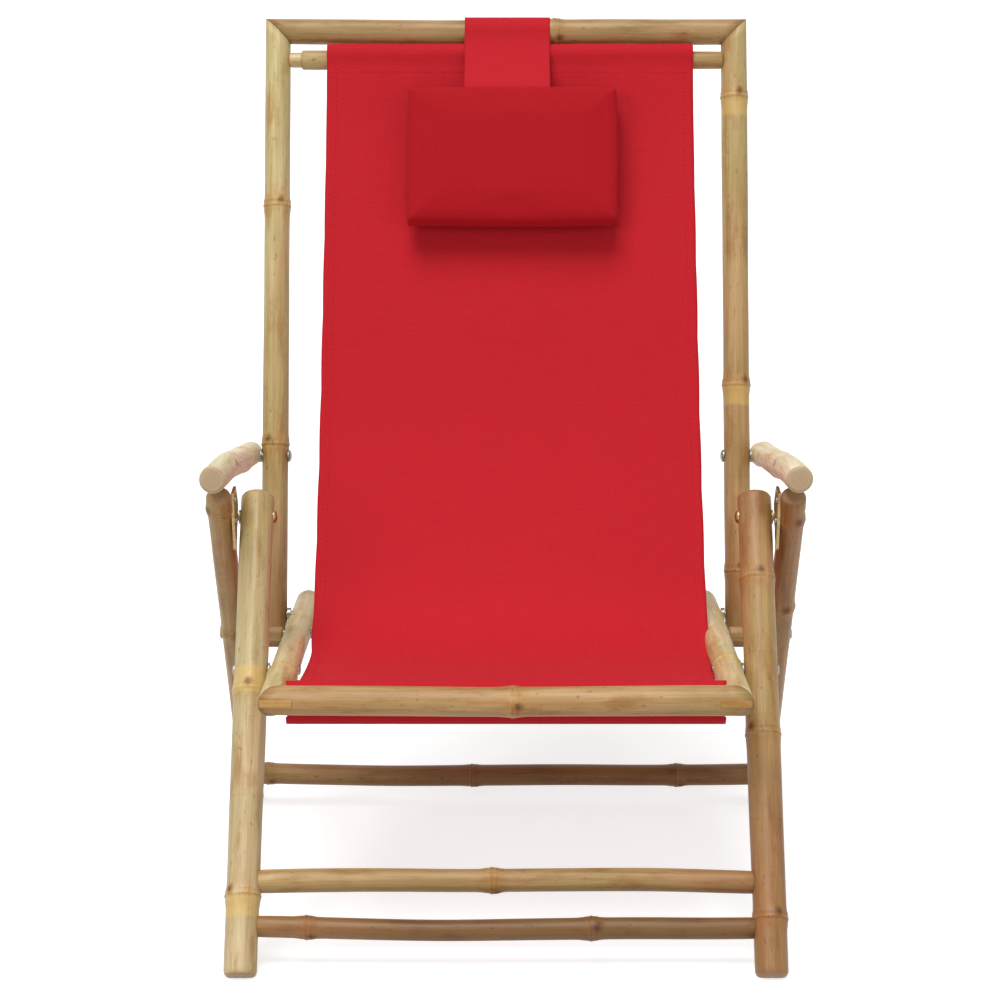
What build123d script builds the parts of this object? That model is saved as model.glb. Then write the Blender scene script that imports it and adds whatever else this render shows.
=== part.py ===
# Bamboo reclining chair with a red sling seat and a hanging head pillow.
# Millimetres, +Z up, the sitter faces -Y, the floor is Z = 0.
import os
from math import hypot
from build123d import *

os.makedirs("parts", exist_ok=True)

# Half widths of the three layers of poles, measured from the middle plane.
seat_x = 226.0
leg_x = 260.0
arm_x = 295.0

# Pole radii.
leg_r = 17.5
back_r = 15.0
rail_r = 15.0
rear_r = 13.5
arm_r = 13.5
rung_upper_r = 12.0
rung_lower_r = 11.0
rear_rung_r = 12.5
rod_r = 10.5
tenon_r = 6.0
end_round = 4.0

# Length that a pole has past the ends of its axis before it is cut, and length of the cutters.
front_over = 9.0
rear_over = 7.0
mitre_over = 30.0
cutter = 300.0

# Ends of each pole's axis in the side plane, as (Y, Z).
front_foot = (-330.75, 0.0)
front_top = (-33.75, 420.0)
rear_foot = (184.25, 0.0)
rear_top = (-98.75, 430.0)
seat_front = (-277.75, 267.0)
seat_rear = (189.25, 235.0)
back_top = (331.25, 871.0)
back_low = (110.65, 204.6)
arm_front = (-146.75, 458.0)
arm_rear = (202.25, 405.4)

# Pivots in the side plane.
pivot_front = (-148.25, 258.1)
pivot_rear = (21.95, 246.5)
pivot_back = (122.25, 239.6)
pivot_arm = (178.25, 409.0)
pin_arm = (-88.75, 415.0)
latch = (-51.45, 395.0)

# Heights of the rungs on their legs and places of the sling's rods.
rung_upper_z = 78.0
rung_lower_z = 41.0
rear_rung_z = 38.0
rod_top = (317.25, 840.0)
rod_front = (-247.75, 256.0)

# Hardware.
bolt_r = 4.0
head_r = 7.0
head_t = 4.0
washer_r = 7.5
turn_gap = 0.05
seat_gap = 0.02
plate_in = 279.5
plate_out = 282.5
tab_t = 4.0
pin_r = 3.0
latch_pitch = 14.5

# Cloth and padding.
cloth_t = 1.6
sling_seat_half = 206.0
sling_back_half = 208.0
strap_half = 48.5
strap_t = 2.0
pillow_w = 236.0
pillow_h = 156.0
pillow_edge_t = 30.0
pillow_crown = 8.0
pillow_mid = (242.3, 739.0)
pillow_up = (0.3827, 0.9239)


def line_plane(x, start, end, back_by=0.0):
    """Plane square to a pole's axis, behind its start by back_by."""
    length = hypot(end[0] - start[0], end[1] - start[1])
    dy = (end[0] - start[0]) / length
    dz = (end[1] - start[1]) / length
    origin = (x, start[0] - dy * back_by, start[1] - dz * back_by)
    return Plane(origin=origin, x_dir=(1, 0, 0), z_dir=(0, dy, dz))


def span(start, end):
    """Length of a pole's axis."""
    return hypot(end[0] - start[0], end[1] - start[1])


def across(x, point):
    """Plane square to X at a point of the side plane, facing outwards."""
    return Plane(origin=(x, point[0], point[1]), x_dir=(0, 1, 0), z_dir=(1, 0, 0))


def on_line(start, end, z):
    """Point of a pole's axis at a height."""
    return (start[0] + (end[0] - start[0]) * (z - start[1]) / (end[1] - start[1]), z)


def ribbon(points, thick):
    """Closed outline of a thin band that follows the points."""
    upper = []
    lower = []
    for i, point in enumerate(points):
        before = points[max(i - 1, 0)]
        after = points[min(i + 1, len(points) - 1)]
        length = hypot(after[0] - before[0], after[1] - before[1])
        ny = -(after[1] - before[1]) / length * thick / 2
        nz = (after[0] - before[0]) / length * thick / 2
        upper.append((point[0] + ny, point[1] + nz))
        lower.append((point[0] - ny, point[1] - nz))
    return upper + lower[::-1]


rung_upper = on_line(front_foot, front_top, rung_upper_z)
rung_lower = on_line(front_foot, front_top, rung_lower_z)
rear_rung_at = on_line(rear_foot, rear_top, rear_rung_z)
seat_dir = Vector(0, seat_rear[0] - seat_front[0], seat_rear[1] - seat_front[1]).normalized()
back_dir = Vector(0, back_top[0] - back_low[0], back_top[1] - back_low[1]).normalized()
side = Vector(1, 0, 0)
front_axes = [line_plane(s * leg_x, front_foot, front_top, front_over) for s in (1, -1)]
rear_axes = [line_plane(s * arm_x, rear_foot, rear_top, rear_over) for s in (1, -1)]

# Front legs, with their rungs let into blind holes.
with BuildPart() as front_leg_right:
    with BuildSketch(front_axes[0]):
        Circle(leg_r)
    extrude(amount=span(front_foot, front_top) + front_over)
    fillet(front_leg_right.edges().filter_by(GeomType.CIRCLE), end_round)
    with Locations((leg_x, front_foot[0], -25.0)):
        Box(120, 120, 50, mode=Mode.SUBTRACT)
    with BuildSketch(across(leg_x - leg_r - 1, rung_upper), across(leg_x - leg_r - 1, rung_lower)):
        Circle(tenon_r + seat_gap)
    extrude(amount=15.0 + seat_gap, mode=Mode.SUBTRACT)
    with BuildSketch(across(leg_x - 40, pivot_front), across(leg_x - 40, latch)):
        Circle(bolt_r + seat_gap)
    extrude(amount=80, mode=Mode.SUBTRACT)
front_leg_right.part.label = "front_leg_right"
export_step(front_leg_right.part, "parts/front_leg_right.step")

with BuildPart() as front_leg_left:
    mirror(front_leg_right.part, about=Plane.YZ)
front_leg_left.part.label = "front_leg_left"
export_step(front_leg_left.part, "parts/front_leg_left.step")

with BuildPart() as front_rung_upper:
    with BuildSketch(across(-leg_x, rung_upper)):
        Circle(rung_upper_r)
    extrude(amount=2 * leg_x)
    with BuildSketch(*front_axes):
        Circle(leg_r + seat_gap)
    extrude(amount=cutter, mode=Mode.SUBTRACT)
    with BuildSketch(across(-leg_x + 4.0, rung_upper)):
        Circle(tenon_r)
    extrude(amount=2 * leg_x - 8.0)
front_rung_upper.part.label = "front_rung_upper"
export_step(front_rung_upper.part, "parts/front_rung_upper.step")

with BuildPart() as front_rung_lower:
    with BuildSketch(across(-leg_x, rung_lower)):
        Circle(rung_lower_r)
    extrude(amount=2 * leg_x)
    with BuildSketch(*front_axes):
        Circle(leg_r + seat_gap)
    extrude(amount=cutter, mode=Mode.SUBTRACT)
    with BuildSketch(across(-leg_x + 4.0, rung_lower)):
        Circle(tenon_r)
    extrude(amount=2 * leg_x - 8.0)
front_rung_lower.part.label = "front_rung_lower"
export_step(front_rung_lower.part, "parts/front_rung_lower.step")

# Rear legs: a sawn slot in the top takes the armrest's tab, a flat takes the notch plate.
with BuildPart() as rear_leg_right:
    with BuildSketch(rear_axes[0]):
        Circle(rear_r)
    extrude(amount=span(rear_foot, rear_top) + rear_over - end_round)
    fillet(rear_leg_right.edges().filter_by(GeomType.CIRCLE), end_round)
    with Locations((arm_x, rear_foot[0], -25.0)):
        Box(120, 120, 50, mode=Mode.SUBTRACT)
    with BuildSketch(across(arm_x - rear_r - 1, rear_rung_at)):
        Circle(tenon_r + seat_gap)
    extrude(amount=13.0 + seat_gap, mode=Mode.SUBTRACT)
    with BuildSketch(across(arm_x - 40, pivot_rear)):
        Circle(bolt_r + turn_gap)
    extrude(amount=80, mode=Mode.SUBTRACT)
    with BuildSketch(across(arm_x - 40, pin_arm)):
        Circle(pin_r + seat_gap)
    extrude(amount=80, mode=Mode.SUBTRACT)
    with Locations((arm_x, pin_arm[0], pin_arm[1] + 10.0)):
        Box(tab_t + 1.2, 70, 50, mode=Mode.SUBTRACT)
    with Locations((plate_out - 10.0, pin_arm[0], 400.0)):
        Box(20.0, 120, 80, mode=Mode.SUBTRACT)
rear_leg_right.part.label = "rear_leg_right"
export_step(rear_leg_right.part, "parts/rear_leg_right.step")

with BuildPart() as rear_leg_left:
    mirror(rear_leg_right.part, about=Plane.YZ)
rear_leg_left.part.label = "rear_leg_left"
export_step(rear_leg_left.part, "parts/rear_leg_left.step")

with BuildPart() as rear_rung:
    with BuildSketch(across(-arm_x, rear_rung_at)):
        Circle(rear_rung_r)
    extrude(amount=2 * arm_x)
    with BuildSketch(*rear_axes):
        Circle(rear_r + seat_gap)
    extrude(amount=cutter, mode=Mode.SUBTRACT)
    with BuildSketch(across(-arm_x + 2.0, rear_rung_at)):
        Circle(tenon_r)
    extrude(amount=2 * arm_x - 4.0)
rear_rung.part.label = "rear_rung"
export_step(rear_rung.part, "parts/rear_rung.step")

# Notch plates: the scalloped rear edge stands over the front leg's latch bolt.
path = Vector(-0.496, -0.868)
into = Vector(-0.868, 0.496)
edge_off = bolt_r + 0.6


def edge_point(s, off):
    """Point by the notch edge: s along the bolt's path, off into the plate."""
    return (latch[0] + path.X * s + into.X * off, latch[1] + path.Y * s + into.Y * off)


with BuildPart() as notch_plate_right:
    with BuildSketch(Plane(origin=(plate_in, 0, 0), x_dir=(0, 1, 0), z_dir=(1, 0, 0))):
        with BuildLine():
            Polyline(edge_point(-12.0, edge_off), (-66.75, 432.0), (-94.75, 430.0),
                     edge_point(38.0, edge_off + 9.0), edge_point(38.0, edge_off), close=True)
        make_face()
        fillet(vertices(), 3.0)
        with Locations(edge_point(0, 1.5), edge_point(latch_pitch, 1.5), edge_point(2 * latch_pitch, 1.5)):
            Circle(6.0, mode=Mode.SUBTRACT)
        with Locations((-84.75, 421.0), (-76.75, 397.0)):
            Circle(2.0 + seat_gap, mode=Mode.SUBTRACT)
    extrude(amount=plate_out - plate_in)
notch_plate_right.part.label = "notch_plate_right"
export_step(notch_plate_right.part, "parts/notch_plate_right.step")

with BuildPart() as notch_plate_left:
    mirror(notch_plate_right.part, about=Plane.YZ)
notch_plate_left.part.label = "notch_plate_left"
export_step(notch_plate_left.part, "parts/notch_plate_left.step")

with BuildPart() as plate_screws:
    with BuildSketch(across(plate_in - 1.6, (-84.75, 421.0)), across(plate_in - 1.6, (-76.75, 397.0))):
        Circle(3.6)
    extrude(amount=1.6)
    with BuildSketch(across(plate_in - 0.5, (-84.75, 421.0)), across(plate_in - 0.5, (-76.75, 397.0))):
        Circle(2.0)
    extrude(amount=plate_out - plate_in + 0.5)
    mirror(plate_screws.part, about=Plane.YZ)
plate_screws.part.label = "plate_screws"
export_step(plate_screws.part, "parts/plate_screws.step")

# Cross pins that hold the armrest tabs in the rear legs' slots.
with BuildPart() as arm_pins:
    with BuildSketch(across(plate_out + 0.2, pin_arm)):
        Circle(pin_r)
    extrude(amount=arm_x + rear_r - plate_out - 0.4)
    mirror(arm_pins.part, about=Plane.YZ)
arm_pins.part.label = "arm_pins"
export_step(arm_pins.part, "parts/arm_pins.step")

# Seat frame: two side rails mitred to the front rail, and a rear rail between them.
seat_corner = Plane(origin=(seat_x, seat_front[0], seat_front[1]), z_dir=side + seat_dir)
seat_corner_left = Plane(origin=(-seat_x, seat_front[0], seat_front[1]), z_dir=seat_dir - side)
rear_rail_at = on_line(seat_front, seat_rear, 237.0)
with BuildPart() as seat_rail_right:
    with BuildSketch(line_plane(seat_x, seat_front, seat_rear, mitre_over)):
        Circle(rail_r)
    extrude(amount=span(seat_front, seat_rear) + mitre_over)
    fillet(seat_rail_right.edges().filter_by(GeomType.CIRCLE).sort_by(Axis.Y)[-1], end_round)
    split(bisect_by=seat_corner, keep=Keep.TOP)
    with BuildSketch(*[across(seat_x - 40, pivot) for pivot in (pivot_front, pivot_back, pivot_rear)]):
        Circle(bolt_r + turn_gap)
    extrude(amount=80, mode=Mode.SUBTRACT)
    with BuildSketch(across(seat_x - rail_r - 3, rod_front), across(seat_x - rail_r - 3, rear_rail_at)):
        Circle(tenon_r - 1 + seat_gap)
    extrude(amount=15.0, mode=Mode.SUBTRACT)
seat_rail_right.part.label = "seat_rail_right"
export_step(seat_rail_right.part, "parts/seat_rail_right.step")

with BuildPart() as seat_rail_left:
    mirror(seat_rail_right.part, about=Plane.YZ)
seat_rail_left.part.label = "seat_rail_left"
export_step(seat_rail_left.part, "parts/seat_rail_left.step")

with BuildPart() as seat_front_rail:
    with BuildSketch(across(-seat_x - mitre_over, seat_front)):
        Circle(rail_r)
    extrude(amount=2 * (seat_x + mitre_over))
    split(bisect_by=seat_corner, keep=Keep.BOTTOM)
    split(bisect_by=seat_corner_left, keep=Keep.BOTTOM)
seat_front_rail.part.label = "seat_front_rail"
export_step(seat_front_rail.part, "parts/seat_front_rail.step")

with BuildPart() as seat_rear_rail:
    with BuildSketch(across(-seat_x, rear_rail_at)):
        Circle(rung_upper_r)
    extrude(amount=2 * seat_x)
    with BuildSketch(line_plane(seat_x, seat_front, seat_rear), line_plane(-seat_x, seat_front, seat_rear)):
        Circle(rail_r + seat_gap)
    extrude(amount=span(seat_front, seat_rear) + mitre_over, mode=Mode.SUBTRACT)
    with BuildSketch(across(-seat_x + 4.0, rear_rail_at)):
        Circle(tenon_r - 1)
    extrude(amount=2 * seat_x - 8.0)
seat_rear_rail.part.label = "seat_rear_rail"
export_step(seat_rear_rail.part, "parts/seat_rear_rail.step")

with BuildPart() as sling_front_rod:
    with BuildSketch(across(-seat_x + rail_r + 1.0, rod_front)):
        Circle(rod_r)
    extrude(amount=2 * (seat_x - rail_r - 1.0))
    with BuildSketch(across(-seat_x + 4.0, rod_front)):
        Circle(tenon_r - 1)
    extrude(amount=2 * seat_x - 8.0)
sling_front_rod.part.label = "sling_front_rod"
export_step(sling_front_rod.part, "parts/sling_front_rod.step")

# Back frame: two poles mitred to the top rail, with the sling's top rod below it.
back_corner = Plane(origin=(leg_x, back_top[0], back_top[1]), z_dir=side - back_dir)
back_corner_left = Plane(origin=(-leg_x, back_top[0], back_top[1]), z_dir=back_dir * -1 - side)
with BuildPart() as back_pole_right:
    with BuildSketch(line_plane(leg_x, back_low, back_top)):
        Circle(back_r)
    extrude(amount=span(back_low, back_top) + mitre_over)
    fillet(back_pole_right.edges().filter_by(GeomType.CIRCLE).sort_by(Axis.Z)[0], end_round)
    split(bisect_by=back_corner, keep=Keep.TOP)
    with BuildSketch(across(leg_x - 40, pivot_back), across(leg_x - 40, pivot_arm)):
        Circle(bolt_r + turn_gap)
    extrude(amount=80, mode=Mode.SUBTRACT)
    with BuildSketch(across(leg_x - back_r - 1, rod_top)):
        Circle(tenon_r + seat_gap)
    extrude(amount=13.0, mode=Mode.SUBTRACT)
back_pole_right.part.label = "back_pole_right"
export_step(back_pole_right.part, "parts/back_pole_right.step")

with BuildPart() as back_pole_left:
    mirror(back_pole_right.part, about=Plane.YZ)
back_pole_left.part.label = "back_pole_left"
export_step(back_pole_left.part, "parts/back_pole_left.step")

with BuildPart() as back_top_rail:
    with BuildSketch(across(-leg_x - mitre_over, back_top)):
        Circle(back_r)
    extrude(amount=2 * (leg_x + mitre_over))
    split(bisect_by=back_corner, keep=Keep.BOTTOM)
    split(bisect_by=back_corner_left, keep=Keep.BOTTOM)
back_top_rail.part.label = "back_top_rail"
export_step(back_top_rail.part, "parts/back_top_rail.step")

with BuildPart() as sling_top_rod:
    with BuildSketch(across(-leg_x + back_r + 4.0, rod_top)):
        Circle(rod_r)
    extrude(amount=2 * (leg_x - back_r - 4.0))
    with BuildSketch(across(-leg_x + 5.0, rod_top)):
        Circle(tenon_r)
    extrude(amount=2 * leg_x - 10.0)
sling_top_rod.part.label = "sling_top_rod"
export_step(sling_top_rod.part, "parts/sling_top_rod.step")

# Armrests, each with a steel tab under its front end and a blind hole for the back bolt.
with BuildPart() as armrest_right:
    with BuildSketch(line_plane(arm_x, arm_front, arm_rear)):
        Circle(arm_r)
    extrude(amount=span(arm_front, arm_rear))
    fillet(armrest_right.edges().filter_by(GeomType.CIRCLE), end_round)
    with BuildSketch(across(arm_x - arm_r - 1, pivot_arm)):
        Circle(bolt_r + turn_gap)
    extrude(amount=21.0, mode=Mode.SUBTRACT)
    with Locations((arm_x, pin_arm[0], pin_arm[1] + 30.0)):
        Box(tab_t, 22, 24, mode=Mode.SUBTRACT)
armrest_right.part.label = "armrest_right"
export_step(armrest_right.part, "parts/armrest_right.step")

with BuildPart() as armrest_left:
    mirror(armrest_right.part, about=Plane.YZ)
armrest_left.part.label = "armrest_left"
export_step(armrest_left.part, "parts/armrest_left.step")

with BuildPart() as arm_tab_right:
    with BuildSketch(across(arm_x - tab_t / 2, pin_arm)):
        Circle(8.0)
        with Locations((0, 20.0)):
            Rectangle(16, 40)
        Circle(pin_r + 1.0, mode=Mode.SUBTRACT)
    extrude(amount=tab_t)
    with Locations((arm_x, pin_arm[0], pin_arm[1] + 52.0)):
        Box(40, 60, 20, mode=Mode.SUBTRACT)
arm_tab_right.part.label = "arm_tab_right"
export_step(arm_tab_right.part, "parts/arm_tab_right.step")

with BuildPart() as arm_tab_left:
    mirror(arm_tab_right.part, about=Plane.YZ)
arm_tab_left.part.label = "arm_tab_left"
export_step(arm_tab_left.part, "parts/arm_tab_left.step")

# Pivot bolts: a dome head inside, a washer between the poles and a nut outside.
with BuildPart() as front_pivot_bolts:
    with BuildSketch(across(seat_x - rail_r - head_t, pivot_front)):
        Circle(head_r)
    extrude(amount=head_t)
    with BuildSketch(across(seat_x - rail_r - head_t, pivot_front)):
        Circle(bolt_r)
    extrude(amount=leg_x + leg_r + head_t + 1 - seat_x + rail_r + head_t)
    with BuildSketch(across(seat_x + rail_r + 0.1, pivot_front)):
        Circle(washer_r)
    extrude(amount=leg_x - leg_r - seat_x - rail_r - 0.2)
    with BuildSketch(across(leg_x + leg_r, pivot_front)):
        Circle(head_r)
    extrude(amount=head_t)
    mirror(front_pivot_bolts.part, about=Plane.YZ)
front_pivot_bolts.part.label = "front_pivot_bolts"
export_step(front_pivot_bolts.part, "parts/front_pivot_bolts.step")

with BuildPart() as back_pivot_bolts:
    with BuildSketch(across(seat_x - rail_r - head_t, pivot_back)):
        Circle(head_r)
    extrude(amount=head_t)
    with BuildSketch(across(seat_x - rail_r - head_t, pivot_back)):
        Circle(bolt_r)
    extrude(amount=leg_x + back_r + head_t - seat_x + rail_r + head_t)
    with BuildSketch(across(seat_x + rail_r + 0.1, pivot_back)):
        Circle(washer_r)
    extrude(amount=leg_x - back_r - seat_x - rail_r - 0.2)
    with BuildSketch(across(leg_x + back_r + 0.1, pivot_back)):
        Circle(head_r)
    extrude(amount=head_t)
    mirror(back_pivot_bolts.part, about=Plane.YZ)
back_pivot_bolts.part.label = "back_pivot_bolts"
export_step(back_pivot_bolts.part, "parts/back_pivot_bolts.step")

with BuildPart() as rear_pivot_bolts:
    with BuildSketch(across(seat_x - rail_r - head_t, pivot_rear)):
        Circle(head_r)
    extrude(amount=head_t)
    with BuildSketch(across(seat_x - rail_r - head_t, pivot_rear)):
        Circle(bolt_r)
    extrude(amount=arm_x + rear_r + head_t - seat_x + rail_r + head_t)
    with BuildSketch(across(seat_x + rail_r + 0.1, pivot_rear)):
        Circle(washer_r)
    extrude(amount=arm_x - rear_r - seat_x - rail_r - 0.2)
    with BuildSketch(across(arm_x + rear_r + 0.1, pivot_rear)):
        Circle(head_r)
    extrude(amount=head_t)
    mirror(rear_pivot_bolts.part, about=Plane.YZ)
rear_pivot_bolts.part.label = "rear_pivot_bolts"
export_step(rear_pivot_bolts.part, "parts/rear_pivot_bolts.step")

with BuildPart() as arm_bolts:
    with BuildSketch(across(leg_x - back_r - head_t, pivot_arm)):
        Circle(head_r)
    extrude(amount=head_t)
    with BuildSketch(across(leg_x - back_r - head_t, pivot_arm)):
        Circle(bolt_r)
    extrude(amount=arm_x + 5.0 - leg_x + back_r + head_t)
    with BuildSketch(across(leg_x + back_r, pivot_arm)):
        Circle(washer_r)
    extrude(amount=arm_x - arm_r - leg_x - back_r - 0.1)
    mirror(arm_bolts.part, about=Plane.YZ)
arm_bolts.part.label = "arm_bolts"
export_step(arm_bolts.part, "parts/arm_bolts.step")

with BuildPart() as latch_bolts:
    with BuildSketch(across(leg_x - leg_r - head_t, latch)):
        Circle(head_r)
    extrude(amount=head_t)
    with BuildSketch(across(leg_x - leg_r - head_t, latch)):
        Circle(bolt_r)
    extrude(amount=281.2 - leg_x + leg_r + head_t)
    mirror(latch_bolts.part, about=Plane.YZ)
latch_bolts.part.label = "latch_bolts"
export_step(latch_bolts.part, "parts/latch_bolts.step")

# Sling: a seat part round the front rod and a back part round the top rod, meeting at the bend.
side_plane = Plane(origin=(0, 0, 0), x_dir=(0, 1, 0), z_dir=(1, 0, 0))
sleeve = cloth_t + 0.3
seat_points = [(rod_front[0] + 2.0, rod_front[1] + rod_r + 1.1), (-218.0, 264.6), (-183.0, 259.8),
               (-145.0, 255.3), (-110.0, 251.5), (-75.0, 250.0), (-38.0, 251.8), (-8.5, 256.6)]
back_points = [(rod_top[0] - rod_r - 1.1, rod_top[1] - 2.0), (283.0, 769.0), (257.0, 704.0), (231.0, 640.0),
               (205.0, 576.0), (180.0, 515.0), (154.0, 458.0), (127.0, 408.0), (98.0, 362.0), (69.0, 321.0),
               (43.0, 290.0), (19.0, 270.0), (-2.0, 259.5)]
with BuildPart() as sling_seat:
    with BuildSketch(side_plane.offset(-sling_seat_half)):
        with BuildLine():
            Polyline(ribbon(seat_points, cloth_t), close=True)
        make_face()
        with Locations(rod_front):
            Circle(rod_r + sleeve)
            Circle(rod_r + 0.3, mode=Mode.SUBTRACT)
    extrude(amount=2 * sling_seat_half)
sling_seat.part.label = "sling_seat"
export_step(sling_seat.part, "parts/sling_seat.step")

with BuildPart() as sling_back:
    with BuildSketch(side_plane.offset(-sling_back_half)):
        with BuildLine():
            Polyline(ribbon(back_points, cloth_t), close=True)
        make_face()
        with Locations(rod_top):
            Circle(rod_r + sleeve)
            Circle(rod_r + 0.3, mode=Mode.SUBTRACT)
    extrude(amount=2 * sling_back_half)
sling_back.part.label = "sling_back"
export_step(sling_back.part, "parts/sling_back.step")

# Head pillow with crowned faces and drawn-in sides, on a strap looped round the top rail.
pillow_front = (0, -pillow_up[1], pillow_up[0])
pillow_plane = Plane(origin=(0, pillow_mid[0], pillow_mid[1]), x_dir=(1, 0, 0), z_dir=pillow_front)
with BuildPart() as headrest_pillow:
    with BuildSketch(pillow_plane.offset(-pillow_edge_t / 2 - pillow_crown)):
        RectangleRounded(pillow_w - 70, pillow_h - 60, 20)
    with BuildSketch(pillow_plane.offset(-pillow_edge_t / 2)):
        RectangleRounded(pillow_w - 12, pillow_h - 12, 14)
    with BuildSketch(pillow_plane):
        RectangleRounded(pillow_w, pillow_h, 18)
    with BuildSketch(pillow_plane.offset(pillow_edge_t / 2)):
        RectangleRounded(pillow_w - 12, pillow_h - 12, 14)
    with BuildSketch(pillow_plane.offset(pillow_edge_t / 2 + pillow_crown)):
        RectangleRounded(pillow_w - 70, pillow_h - 60, 20)
    loft(ruled=True)
headrest_pillow.part.label = "headrest_pillow"
export_step(headrest_pillow.part, "parts/headrest_pillow.step")

strap_in = back_r + 0.4
strap_face = back_top[0] - strap_in - strap_t / 2
strap_end = (pillow_mid[0] + 28.0, pillow_mid[1] + 75.5)
with BuildPart() as headrest_strap:
    with BuildSketch(side_plane.offset(-strap_half)):
        with Locations(back_top):
            Circle(strap_in + strap_t)
            Circle(strap_in, mode=Mode.SUBTRACT)
        with BuildLine():
            Polyline((strap_face, back_top[1] + 4.0), (strap_face - 16.0, back_top[1] - 30.0), strap_end)
            offset(amount=strap_t / 2, side=Side.BOTH)
        make_face()
    extrude(amount=2 * strap_half)
headrest_strap.part.label = "headrest_strap"
export_step(headrest_strap.part, "parts/headrest_strap.step")
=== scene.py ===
# Bamboo reclining chair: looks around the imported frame, in metres.
import random
from math import atan2, copysign, cos, exp, pi, radians, sin, sqrt

import bpy
import numpy as np
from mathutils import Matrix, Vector


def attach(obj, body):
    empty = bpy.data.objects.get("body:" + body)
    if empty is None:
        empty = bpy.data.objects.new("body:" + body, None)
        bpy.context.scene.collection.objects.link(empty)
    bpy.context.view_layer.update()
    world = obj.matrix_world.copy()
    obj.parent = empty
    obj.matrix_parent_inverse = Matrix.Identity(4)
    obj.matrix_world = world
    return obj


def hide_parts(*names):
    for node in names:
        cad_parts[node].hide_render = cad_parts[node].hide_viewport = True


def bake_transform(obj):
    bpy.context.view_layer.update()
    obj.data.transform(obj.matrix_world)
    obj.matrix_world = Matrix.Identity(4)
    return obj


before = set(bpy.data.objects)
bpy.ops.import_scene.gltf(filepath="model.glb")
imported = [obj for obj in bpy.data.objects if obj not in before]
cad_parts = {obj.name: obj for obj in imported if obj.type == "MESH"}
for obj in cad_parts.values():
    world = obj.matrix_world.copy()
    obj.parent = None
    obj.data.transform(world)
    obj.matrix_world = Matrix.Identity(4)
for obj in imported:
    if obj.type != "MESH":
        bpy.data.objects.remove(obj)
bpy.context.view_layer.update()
scene = bpy.context.scene
scene.view_settings.view_transform = "Standard"

# Pivots and ends in the side plane, as (Y, Z), and the layers' distances from the middle.
SEAT_X, LEG_X, ARM_X = 0.226, 0.26, 0.295
FRONT_FOOT, FRONT_TOP = (-0.33075, 0.0), (-0.03375, 0.42)
REAR_FOOT, REAR_TOP = (0.18425, 0.0), (-0.09875, 0.43)
SEAT_FRONT, SEAT_REAR = (-0.27775, 0.267), (0.18925, 0.235)
BACK_LOW, BACK_TOP = (0.11065, 0.2046), (0.33125, 0.871)
ARM_FRONT, ARM_REAR = (-0.14675, 0.458), (0.20225, 0.4054)
PIVOT_FRONT, PIVOT_REAR = (-0.14825, 0.2581), (0.02195, 0.2465)
PIVOT_BACK, PIVOT_ARM = (0.12225, 0.2396), (0.17825, 0.409)
LATCH = (-0.05145, 0.395)
ROD_TOP, ROD_FRONT = (0.31725, 0.84), (-0.24775, 0.256)
FRONT_R, REAR_R, FRAME_R, ARM_R = 0.0175, 0.0135, 0.015, 0.0144
SIDES = ((-1, "left"), (1, "right"))


def at(x, p):
    """Point of the side plane p at a distance x from the middle."""
    return Vector((x, p[0], p[1]))


def along(start, end, z):
    """Point of a line of the side plane at a height."""
    t = (z - start[1]) / (end[1] - start[1])
    return (start[0] + (end[0] - start[0]) * t, z)


def bell(x, width):
    """1 at 0, fading smoothly to both sides over a width."""
    return exp(-(x / width) ** 2)


def ramp_up(low, high, value):
    """Smooth step from 0 at low to 1 at high."""
    t = min(max((value - low) / (high - low), 0), 1)
    return t * t * (3 - 2 * t)


def srgb(r, g, b):
    """Linear colour of an 8-bit screen colour."""
    out = []
    for c in (r, g, b):
        c = c / 255
        out.append(c / 12.92 if c <= 0.04045 else ((c + 0.055) / 1.055) ** 2.4)
    return tuple(out)


# Materials.
MIX_INPUTS, MIX_OUTPUT = (0, 6, 7), 2  # a Mix node's sockets for colours: factor, A and B, and the result


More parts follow.
